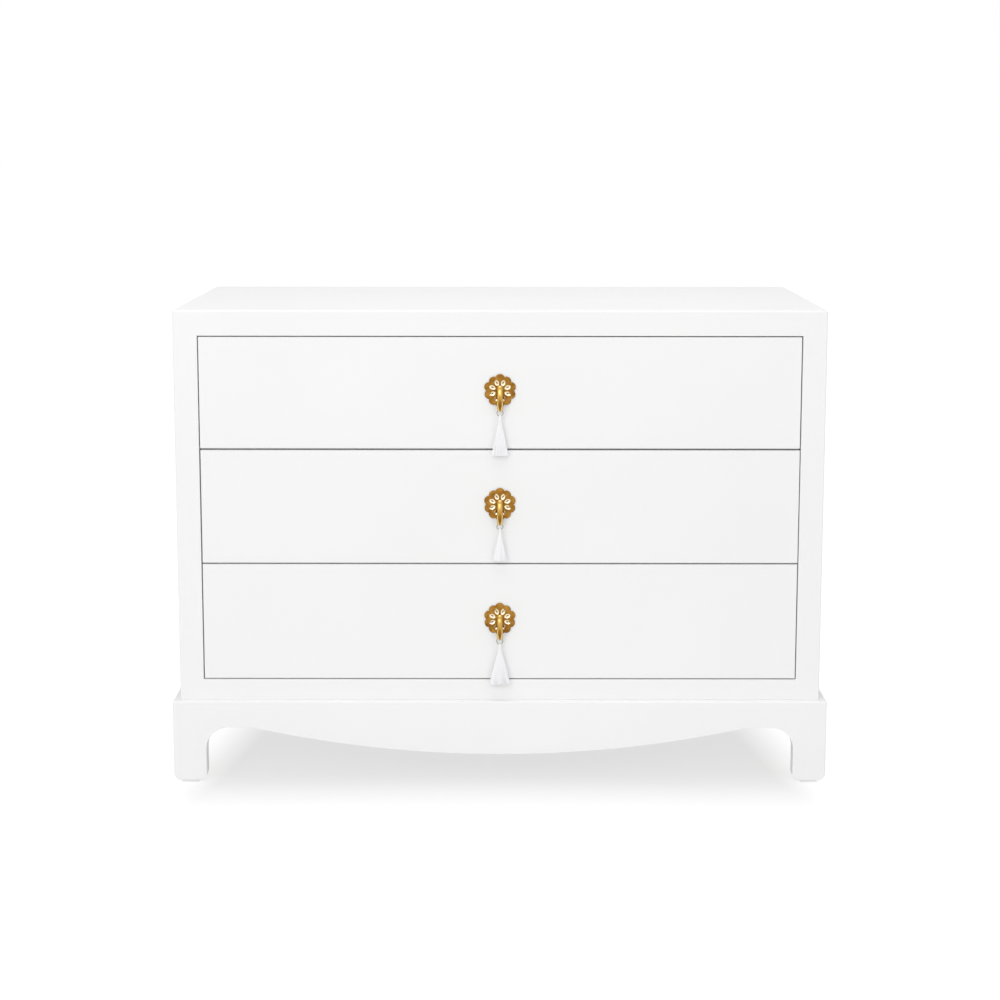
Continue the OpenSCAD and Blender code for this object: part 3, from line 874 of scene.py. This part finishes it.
def leaf(length, width, turn):
    """A leaf's outline at PETAL_MID from the centre, pointing outward at an angle."""
    steps = 14
    r = (length ** 2 + width ** 2) / (4 * width)
    half = asin(length / 2 / r)
    row = []
    for side in (1, -1):
        for k in range(steps):
            a = side * mix(half, -half, k / steps)
            row.append((side * (r * cos(a) - r + width / 2), r * sin(a)))
    c, s = cos(turn), sin(turn)
    return [(x * c + (y + PETAL_MID) * s, -x * s + (y + PETAL_MID) * c) for x, y in row]


def fill_face(build, o, loops, out):
    """A flat face inside the first loop and outside the others, at out from the drawer face."""
    bm = bmesh.new()
    edges = []
    for loop in loops:
        verts = [bm.verts.new((x, y, 0)) for x, y in loop]
        edges += [bm.edges.new((verts[k], verts[(k + 1) % len(verts)])) for k in range(len(verts))]
    bmesh.ops.triangle_fill(bm, edges=edges, use_beauty=True, normal=(0, 0, 1))
    bm.verts.index_update()
    ids = build.points([at(o, v.co.x, out, v.co.y) for v in bm.verts], 0.0)
    for f in bm.faces:
        build.face([ids[v.index] for v in f.verts])
    bm.free()


def plate(i, o):
    """The scalloped plate: a round rim, sunk petals with a slot in each, and the post's hole."""
    build = Build()
    steps = 6
    rim = 1.3
    back_rim = 0.35
    rows = [(back_rim, 0.0, 0.8), (0.0, back_rim, 1.0), (0.0, PLATE_T - rim, 1.0)]
    for k in range(1, steps + 1):
        a = pi / 2 * k / steps
        rows.append((rim * (1 - cos(a)), PLATE_T - rim + rim * sin(a), 1 - k / steps))
    ids = [build.points(drawn(o, lobed(inset), out), tone) for inset, out, tone in rows]
    build.skin(ids)
    fronts = [lobed(rim)]
    for k in range(PETALS):
        turn = (k + 0.5) * 2 * pi / PETALS
        rows = [(0.0, PLATE_T, 0.4), (0.07, PLATE_T - 0.1, 0.1)]
        rows += [(mix(0.07, 1, t), PLATE_T - mix(0.1, PETAL_SINK, 1 - (1 - t) ** 1.6), 0.25 * t)
                 for t in (0.2, 0.4, 0.6, 0.8, 1.0)]
        ring = []
        for share, out, tone in rows:
            shape = leaf(mix(PETAL[0], SLOT[0], share), mix(PETAL[1], SLOT[1], share), turn)
            ring.append(build.points(drawn(o, shape, out), tone))
        build.skin(ring, 1)
        # Each slot is closed by a dark floor, painted shade for the shadow seen through it
        wall = build.points(drawn(o, leaf(*SLOT, turn), 0.45))
        build.bridge(ring[-1], wall, 2)
        build.face(wall, 2)
        fronts.append(leaf(*PETAL, turn))
    hole = arc(0, POST_UP, POST_R + 0.2, 0, 360, 28)[:-1]
    build.skin([build.points(drawn(o, hole, out)) for out in (0.0, PLATE_T)])
    fill_face(build, o, [*fronts, hole], PLATE_T)
    fill_face(build, o, [lobed(back_rim), hole], 0.0)
    finish_build(build, f"scalloped_plate_{i}", 24, f"drawer_{i}", "brass",
                 [BRASS, PETAL_GOLD, SLOT_SHADE], f"pull_plate_{i}")


def drop_stations():
    """Stations down the drop: out, up and angle of its middle line, its depth in front and behind,
    its width, and the share of the bow that lies above."""
    top = asin((POST_UP - BOW_UP) / BOW_R)
    stations = 44
    tip = 0.06  # the share that the rounded tip takes up
    rows = []
    for k in range(16, 0, -1):
        b = radians(5.5 * k)
        off, half = KNUCKLE * sin(b), KNUCKLE * cos(b)
        rows.append((PIN_OUT - off * sin(top), POST_UP + off * cos(top), top, half, half,
                     BAR_W[0] - 4.6 * sin(b) ** 3, 0.0))
    spread = [k / stations for k in range(stations - 2)]
    spread += [1 - tip * (1 - sin(radians(9 * k))) for k in range(11)]
    for t in spread:
        a = mix(top, -top, t)
        half = BAR_HALF + 2.1 * (1 - ramp(t * 2 * top * BOW_R / 5.5))
        rounded = max(0.0, (t - 0.94) / tip)
        w = mix(*BAR_W, t) - 3.4 * (1 - sqrt(max(0.0, 1 - rounded ** 2)))
        rows.append((BOW_OUT + BOW_R * cos(a), BOW_UP + BOW_R * sin(a), a, half,
                     mix(half, -0.75, ramp(t, 0.925, 0.035)), w, t))
    return rows


def drop_section(w, front, back, edge):
    """Points round the drop at one station: x across it, n out of its face, and whether the point
    lies on the tongue, whose half width is edge."""
    shoulder = -min(back, 1.5)
    outer = acos(min(1, (edge + TONGUE_LIP) / (w / 2)) ** (1 / CROWN))
    inner = acos(min(1, edge / (w / 2)) ** (1 / CROWN))
    turns = [(outer * k / 9, 0) for k in range(10)]
    turns += [(mix(inner, pi - inner, k / 10), 1) for k in range(11)]
    turns += [(pi - outer + outer * k / 9, 0) for k in range(10)]
    out = []
    for a, on in turns:
        c = cos(a)
        out.append((w / 2 * copysign(abs(c) ** CROWN, c),
                    mix(shoulder, front, abs(sin(a)) ** CROWN), on))
    for k in range(1, 16):
        a = pi * k / 16
        c = cos(pi + a)
        out.append((w / 2 * copysign(abs(c) ** 0.62, c), mix(shoulder, -back, sin(a) ** 0.4), 0))
    return out


def drop_eye(o):
    """The flat-sided eye under the drop's tip."""
    mid_r, wall, half = 1.8, 0.5, 1.7
    rings = []
    for a in angles(28):
        row = []
        for b in angles(14):
            r = mid_r + wall * copysign(abs(cos(b)) ** 0.7, cos(b))
            x = half * copysign(abs(sin(b)) ** 0.6, sin(b))
            row.append(at(o, x, HANG_OUT + r * cos(a), EYE_UP + r * sin(a)))
        rings.append(row)
    build = Build()
    build.loft(rings, loop=True)
    obj = build.object("eye")
    shade(obj, 50)
    return obj


def drop(i, o):
    """The bowed drop: a crowned bar with a hollowed tongue in its lower half, a fork over the
    post's tongue, and an eye."""
    build = Build()
    ids = []
    for out, up, a, front, back, w, t in drop_stations():
        begun = ramp(t, 0.46, 0.1)
        sink = TONGUE_SINK * begun * (1 - ramp(t, 0.88, 0.05))
        edge = 0.35 + 0.5 * w / 2 * ramp(t, 0.45, 0.16) * (1 - ramp(t, 0.66, 0.4))
        ring = []
        for x, n, on in drop_section(w, front, back, edge):
            # Painted light on the front: it pales lower down as a painted reflection, the tongue
            # darkens as patina and a painted dark reflection, and a pale band down the upper crest,
            # darker to its sides, is a painted highlight; the back is a little darker
            tone = mix(BODY, PAINTED_LOWER_REFLECTION, ramp(t, 0.45, 0.2)) if n > 0 else BEHIND
            if on:
                n -= sink * ramp(0.3 + 0.7 * (1 - (x / edge) ** 2))
                tone = mix(BODY, mix(*PATINA_AND_DARK_REFLECTION, ramp(t, 0.5, 0.3)), begun)
            highlight_share = 1 - ramp(t, 0.32, 0.2) if n > 0 else 0
            tone = mix(tone, PAINTED_CREST_HIGHLIGHT, highlight_share * exp(-(x / w * 5.5) ** 2))
            tone += 0.2 * highlight_share * (2 * x / w) ** 2
            ring += build.points([at(o, x, out + n * cos(a), up + n * sin(a))], tone)
        ids.append(ring)
    build.skin(ids)
    build.face(ids[0][::-1])
    build.face(ids[-1])
    obj = build.object(f"bowed_drop_{i}")
    fork_r = 3.4
    lean = radians(15)
    reach = 6.0
    fork = arc(PIN_OUT, POST_UP, fork_r, -90, 15, 17)
    fork += [(fork[-1][0] - reach * sin(lean), fork[-1][1] + reach * cos(lean)),
             (PIN_OUT - reach, POST_UP + reach), (PIN_OUT - reach, POST_UP - fork_r)]
    fork = [(o.y - out * MM, o.z + up * MM) for out, up in fork]
    bore = arc(o.y - PIN_OUT * MM, o.z + POST_UP * MM, PIN_R * MM, 0, 360, 24)[:-1]
    carve(obj, [prism_mesh(fork, "X", -2.1 * MM, 2.1 * MM), prism_mesh(bore, "X", -9 * MM, 9 * MM)])
    shade(obj, 38)
    join(obj, drop_eye(o))
    finish_piece(obj, f"drop_{i}", "brass", [GOLD], f"pull_drop_{i}")


def join(obj, other):
    """Moves another object's mesh into this one."""
    bm = bmesh.new()
    for o in (obj, other):
        bm.from_mesh(o.data)
    bm.to_mesh(obj.data)
    bm.free()
    bpy.data.objects.remove(other)


def pin(i, o):
    """The drop's pin, with a low dome at each end."""
    half, r = 5.75, PIN_R
    profile = [(0, -half), (r * 0.6, -half + 0.08), (r, -half + 0.4), (r, half - 0.4),
               (r * 0.6, half - 0.08), (0, half)]
    build = Build()
    build.lathe(profile, lambda a, b, h: at(o, h, PIN_OUT + a, POST_UP + b), steps=24)
    finish_build(build, f"drop_pin_{i}", SHARP, f"drop_{i}", "brass", [BRASS], f"pull_pin_{i}")


def post(i, o):
    """The post: a collar on the plate, a round-ended tongue in front, and a threaded tail."""
    front = PLATE_T
    tail = -26.5
    turns = 11
    pitch = 0.6
    profile = [(0, tail), (POST_R - 0.5, tail), (POST_R, tail + 0.5)]
    for k in range(turns * 2):
        profile.append((POST_R - (0.35 if k % 2 else 0.0), tail + 0.8 + k * pitch / 2))
    profile += [(POST_R, tail + 8), (POST_R, front), (4.2, front), (4.5, front + 0.3),
                (4.5, front + 0.8), (4.1, front + 1.2), (0, front + 1.2)]
    build = Build()
    build.lathe(profile, lambda a, b, h: at(o, a, h, POST_UP + b), steps=36)
    tongue_r = 3.1
    ring = [(front + 0.6, POST_UP + tongue_r), *arc(PIN_OUT, POST_UP, tongue_r, 90, -90, 18),
            (front + 0.6, POST_UP - tongue_r)]
    build.loft([[at(o, x, out, up) for out, up in ring] for x in (-1.8, 1.8)])
    finish_build(build, f"plate_post_{i}", 28, f"drawer_{i}", "brass", [BRASS], f"pull_post_{i}")


def nut(i, o):
    """Washer and chamfered hexagon nut behind the drawer front."""
    base = -20.0
    build = Build()
    washer = [(2.6, 0), (5.8, 0), (6, 0.2), (6, 0.8), (5.8, 1), (2.6, 1)]
    build.lathe(washer, lambda a, b, h: at(o, a, base - h, POST_UP + b), steps=40, loop=True)
    flats = 4.6
    rows = [(2.5, 1.0, False), (flats, 1.0, True), (flats, 4.55, True), (4.15, 5.0, False),
            (2.8, 5.0, False), (2.5, 4.7, False)]
    rings = []
    for r, h, corners in rows:
        ring = []
        for a in angles(48):
            flat = cos(pi / 6) / cos((a % (pi / 3)) - pi / 6)
            size = r * flat if corners else min(r, flats * flat)
            ring.append(at(o, size * cos(a), base - h, POST_UP + size * sin(a)))
        rings.append(ring)
    build.loft(rings, loop=True)
    finish_build(build, f"nut_and_washer_{i}", 25, f"drawer_{i}", "steel", [STEEL], f"pull_nut_{i}")


def jump_ring(i, o):
    """The jump ring, with its butted ends behind the eye."""
    steps = 72
    gap = 0.03
    path = []
    for k in range(steps + 1):
        a = mix(gap, 2 * pi - gap, k / steps) + radians(200)
        path.append(at(o, RING_MEAN_R * sin(a), HANG_OUT, RING_UP + RING_MEAN_R * cos(a)))
    build = Build()
    build.tube(path, WIRE_R * MM, 14)
    finish_build(build, f"jump_ring_{i}", 50, f"ring_{i}", "nickel", [NICKEL], f"pull_ring_{i}")


def tassel_head(build, o, rng):
    """Threads looped over the ring's wire, and a binding round the neck, over a core."""
    cord_r = 0.42 * MM
    for k in range(5):
        x = (k - 2) * 0.82
        ends = [at(o, x * 0.9, HANG_OUT + out, WIRE_UP - 4.5) for out in (1.2, -1.2)]
        over = [at(o, x, out, up) for out, up in arc(HANG_OUT, WIRE_UP, 1.5, -10, 190, 8)]
        build.tube([ends[0], *over, ends[1]], cord_r, 8, rng.uniform(0.5, 1))
    turns, per_turn = 11, 18
    core_r, bound_r = 2.0, 2.12
    high = WIRE_UP - 1.9
    neck_low = WIRE_UP - WIRE_R - NECK_LEN
    build.loft([[at(o, core_r * cos(a), HANG_OUT + core_r * sin(a),
                    mix(high, neck_low - 1.0, k / 6)) for a in angles(20)] for k in range(7)])
    path = []
    for k in range(turns * per_turn + 1):
        a = 2 * pi * k / per_turn
        up = mix(high - 0.4, neck_low + 0.2, k / (turns * per_turn))
        path.append(at(o, bound_r * cos(a), HANG_OUT + bound_r * sin(a), up))
    build.tube(path, cord_r, 8, 0.8)


def tassel_skirt(build, o, rng, length, hem_w):
    """A solid heart inside loose strands."""
    neck_low = WIRE_UP - WIRE_R - NECK_LEN
    hem = WIRE_UP - WIRE_R - length

    def half_at(t, size):
        return mix(NECK_R - 0.5, size, t ** 0.92)

    heart = []
    for k in range(9):
        t = k / 8 * 0.985
        rx, ry = 0.8 * half_at(t, hem_w / 2), 0.8 * half_at(t, TASSEL_D / 2)
        heart.append([at(o, rx * cos(a), HANG_OUT + ry * sin(a), mix(neck_low, hem, t))
                      for a in angles(24)])
    build.loft(heart, tone=0.4)
    steps = 12
    golden = 0.61803
    for k in range(STRANDS):
        spread = 1.0 if k % 3 else rng.uniform(0.55, 0.97)
        spread *= rng.uniform(0.93, 1.0)
        turn = 2 * pi * (k * golden % 1)
        a, b = spread * cos(turn), spread * sin(turn)
        sway, phase = rng.uniform(-0.45, 0.45), rng.uniform(0, 6.28)
        end = hem + rng.uniform(0.0, 1.6)
        path = []
        for s in range(steps + 1):
            t = s / steps
            up = mix(neck_low + 1.2, end, t)
            wave = sway * sin(3.1 * t + phase) * t
            path.append(at(o, a * half_at(t, hem_w / 2 - 0.5) + wave,
                           HANG_OUT + b * half_at(t, TASSEL_D / 2 - 0.4) + 0.4 * wave, up))
        build.tube(path, rng.uniform(0.3, 0.4) * MM, 5, rng.random())


def tassel(i, o):
    """A hank of thread looped over the ring, bound at its neck, and hanging in loose strands."""
    rng = random.Random(40 + i)
    build = Build()
    tassel_head(build, o, rng)
    tassel_skirt(build, o, rng, *TASSELS[i])
    finish_build(build, f"thread_tassel_{i}", 80, f"thread_{i}", "thread", [THREAD], f"tassel_{i}")


# Studio

def foot_shade(s, across, along):
    """The share of its glow that the floor has close to a foot, and 1 away from the feet."""
    gaps = []
    for value, edge, half in zip((across, along), (BASE_X, BACK_Y), FOOT_SHADE_HALF):
        off = s.math("SUBTRACT", s.math("ABSOLUTE", value), edge - FOOT_W / 2)
        past = s.math("SUBTRACT", s.math("ABSOLUTE", off), half)
        gaps.append(s.math("MAXIMUM", past, 0))
    gap = s.math("SQRT", s.math("ADD", *[s.math("MULTIPLY", g, g) for g in gaps]))
    return s.between(gap, FOOT_SHADE, 1, 0, FOOT_SHADE_REACH)


def floor_paint():
    """White paper to the camera, with a painted shade that darkens it softly under the chest and
    beside the feet, and pale paint to the light that bounces off it."""
    s = Shader("studio_floor")
    s.tree.nodes.remove(s.bsdf)

    def vector(operation, a, b=(0, 0, 0)):
        made = s.node("ShaderNodeVectorMath", operation=operation)
        s.feed(made, a, b)
        return made.outputs

    parts = s.node("ShaderNodeSeparateXYZ", Vector=s.place).outputs
    across, along = parts[0], parts[1]
    slanted = s.math("ADD", s.math("ABSOLUTE", across), s.math("MULTIPLY", along, SHADE_SLANT))
    away = s.node("ShaderNodeCombineXYZ", X=slanted, Y=s.math("ABSOLUTE", along)).outputs
    outside = vector("MAXIMUM", vector("SUBTRACT", away[0], (SHADE_X, BACK_Y, 0))[0])
    far = vector("LENGTH", vector("MULTIPLY", outside[0], (FLOOR_SIDE, 1, 1))[0])["Value"]
    strength = s.math("MULTIPLY", s.between(far, *FLOOR_GLOW, 0, FLOOR_REACH),
                      foot_shade(s, across, along))
    paint, thin = [s.node("ShaderNodeBsdfDiffuse", Color=colour).outputs[0]
                   for colour in (FLOOR_PAINT, FLOOR_THIN)]
    glow = s.node("ShaderNodeEmission", Strength=strength).outputs[0]
    both = s.feed(s.node("ShaderNodeAddShader"), thin, glow)
    s.put(s.out.inputs["Surface"], s.seen_or_not(paint, both))
    return s.mat


def studio_floor():
    """A floor of a few square cells, wide enough to run out of sight."""
    build = Build()
    cells = 12
    marks = [mix(-FLOOR_SIZE, FLOOR_SIZE, k / cells) for k in range(cells + 1)]
    rows = [build.points([Vector((x, y, 0)) for y in marks]) for x in marks]
    build.skin(rows, closed=False)
    floor = build.object("floor")
    floor.data.materials.append(floor_paint())


def studio_world():
    """White behind the chest, and a dimmer even light on it."""
    world = bpy.data.worlds.new("studio")
    bpy.context.scene.world = world
    world.use_nodes = True
    tree = Tree(world.node_tree)
    dim, full = [tree.node("ShaderNodeBackground", Color=(1, 1, 1, 1), Strength=strength).outputs[0]
                 for strength in (AMBIENT, 1.0)]
    tree.node("ShaderNodeOutputWorld", Surface=tree.seen_or_not(dim, full))


def lamp(name, place, target, size, power):
    data = bpy.data.lights.new(name, "AREA")
    data.shape = "RECTANGLE"
    data.size, data.size_y = size
    data.energy = power
    obj = add_object(name, data)
    obj.location = place
    obj.rotation_euler = (Vector(target) - Vector(place)).to_track_quat("-Z", "Y").to_euler()


def camera():
    data = bpy.data.cameras.new("camera")
    data.lens = CAM_LENS
    data.sensor_width = CAM_SENSOR
    data.shift_x, data.shift_y = CAM_SHIFT
    obj = add_object("camera", data)
    aim = Matrix.Rotation(radians(90 - CAM_DOWN), 4, "X")
    obj.matrix_world = Matrix.Translation(CAM_AT) @ aim @ Matrix.Rotation(radians(CAM_ROLL), 4, "Z")
    bpy.context.scene.camera = obj


camera()
studio_floor()
studio_world()
for lamp_name, settings in LAMPS.items():
    lamp(lamp_name, *settings)

case_shell()
base_shell()
base_back()
corner_blocks()
foot_glides()
back_screws()
eased_block("rear_panel", "back_panel", "case", "raw_wood", PALE_WOOD["X"], 0.5 * MM)
for level in ("upper", "lower"):
    eased_block(f"rail_{level}", f"divider_{level}", "case", "lacquer", LACQUER, 1 * MM)
for n in (1, 2, 3):
    drawer_front(n)
    box_side(n, "left")
    box_side(n, "right")
    for name, node, soft in (("rear", "back", 1 * MM), ("bottom", "floor", 0.4 * MM)):
        eased_block(f"box_{name}_{n}", f"box_{node}_{n}", f"drawer_{n}", "raw_wood",
                    PALE_WOOD["X"], soft)
    slides(n)
    for pull_piece in (plate, post, nut, pin, drop, jump_ring, tassel):
        pull_piece(n, pull_place(n))

bpy.context.scene.view_settings.view_transform = "Standard"
